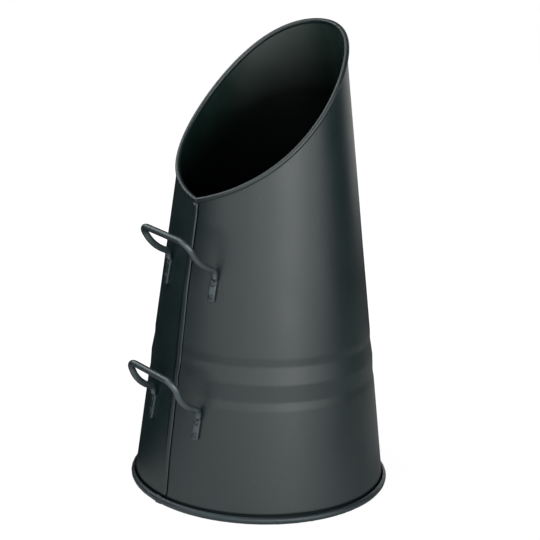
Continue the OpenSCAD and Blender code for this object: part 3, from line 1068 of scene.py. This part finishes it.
# Pale patches of the floor that the hod mirrors: turn from the camera in degrees, distance from the axis,
# reaches where the patch starts and ends to darken, and how dark it is in the middle
FRONT_PATCH = (-6, 0.8, 0.66, 0.86, 0.1)
RIGHT_PATCH = (100, 0.6, 0.35, 0.65, 0.5)
DARK_FLOOR = (0.004, 0.004, 0.004)

# The camera sees a faint floor, which takes the shadow, and a glow, which is weaker near the hod
FAINT_FLOOR = (0.10, 0.10, 0.10)
NEAR_GLOW, GLOW_REACHES = 0.93, (0.2, 0.6)


def make_floor(stage):
    """A wide pale floor, which the camera sees as white with a trace of the hod's shadow.

    Rays that reflect off the hod see it pale only in front and, at half strength, on the right.
    """
    mesh = bpy.data.meshes.new("floor")
    bm = bmesh.new()
    bmesh.ops.create_circle(bm, cap_ends=True, radius=FLOOR_RADIUS, segments=96)
    bm.to_mesh(mesh)
    bm.free()
    made = new_finish("pale_floor")

    def darkness(turn, away, inner, outer, middle):
        place = made.away(around(stage.camera_turn + radians(turn), away, 0))
        return made.between(place, inner, outer, middle, 1.0)

    plain = made.matt(stage.floor_paint)
    dark = darkness(*FRONT_PATCH) * darkness(*RIGHT_PATCH)
    mirrored = made.choose(dark, plain, made.matt(DARK_FLOOR))
    glow = made.glow(made.between(made.away(Vector()), *GLOW_REACHES, NEAR_GLOW, 1.0))
    lifted = made.node("ShaderNodeAddShader", {}, {0: made.matt(FAINT_FLOOR), 1: glow})
    seen = made.ray("Is Camera Ray") + made.ray("Is Transmission Ray")
    others = made.choose(made.ray("Is Glossy Ray"), plain, mirrored)
    mesh.materials.append(made.close(made.choose(seen, others, lifted)))
    floor = bpy.data.objects.new("floor", mesh)
    bpy.context.scene.collection.objects.link(floor)


def make_world(scene, stage):
    """White where the camera looks past the floor, and a dim room for everything else."""
    made = Finish(bpy.data.worlds.new("studio"))
    room = made.node("ShaderNodeBackground", {}, {"Color": WHITE, "Strength": stage.room_light})
    white = made.node("ShaderNodeBackground", {}, {"Color": WHITE, "Strength": 1.0})
    seen = made.ray("Is Camera Ray") + made.ray("Is Transmission Ray")
    scene.world = made.close(made.choose(seen, room, white), "ShaderNodeOutputWorld")


# The camera's film in millimetres, and the shifts of its view as shares of the picture's width
FILM_WIDTH, SHIFT_RIGHT, SHIFT_UP = 36, 0.0094, -0.0387


def make_camera(scene, stage):
    """The camera at the photograph's angle."""
    data = bpy.data.cameras.new("camera")
    data.lens = stage.camera_lens
    data.sensor_width = FILM_WIDTH
    data.shift_x = SHIFT_RIGHT
    data.shift_y = SHIFT_UP
    camera = bpy.data.objects.new("camera", data)
    scene.collection.objects.link(camera)
    place = move(*around(stage.camera_turn, stage.camera_away, stage.camera_height))
    aim = tilt(stage.camera_turn, "Z") @ tilt(pi / 2 - stage.camera_pitch, "X")
    camera.matrix_world = place @ aim @ tilt(stage.camera_roll, "Z")
    scene.camera = camera
    scene.view_settings.view_transform = "Standard"


class HOD_PT_panel(bpy.types.Panel):
    """Lists the hod's pieces and sizes in the sidebar"""

    bl_label = "Fireside hod"
    bl_idname = "HOD_PT_panel"
    bl_space_type = "VIEW_3D"
    bl_region_type = "UI"
    bl_category = "Hod"

    def draw(self, context):
        for operator in OPERATORS:
            self.layout.operator(operator.bl_idname)
        for name, group in GROUPS.items():
            box = self.layout.box()
            for size in group.__annotations__:
                box.prop(getattr(context.scene, name), size)


OPERATORS = (
    HOD_OT_rolled_body,
    HOD_OT_foot_ring,
    HOD_OT_handles,
    HOD_OT_rivets,
    HOD_OT_kept_nodes,
    HOD_OT_stage,
)
GROUPS = {
    "hod_body": HodBodySizes,
    "hod_foot": HodFootSizes,
    "hod_handles": HodHandleSizes,
    "hod_finishes": HodFinishes,
    "hod_stage": HodStage,
}


def register():
    for kind in (*GROUPS.values(), *OPERATORS, HOD_PT_panel):
        bpy.utils.register_class(kind)
    for name, group in GROUPS.items():
        setattr(bpy.types.Scene, name, PointerProperty(type=group))


def unregister():
    for name in GROUPS:
        delattr(bpy.types.Scene, name)
    for kind in reversed((*GROUPS.values(), *OPERATORS, HOD_PT_panel)):
        bpy.utils.unregister_class(kind)


def main():
    register()
    for operator in OPERATORS:
        group, name = operator.bl_idname.split(".")
        getattr(getattr(bpy.ops, group), name)()


if __name__ == "__main__":
    main()
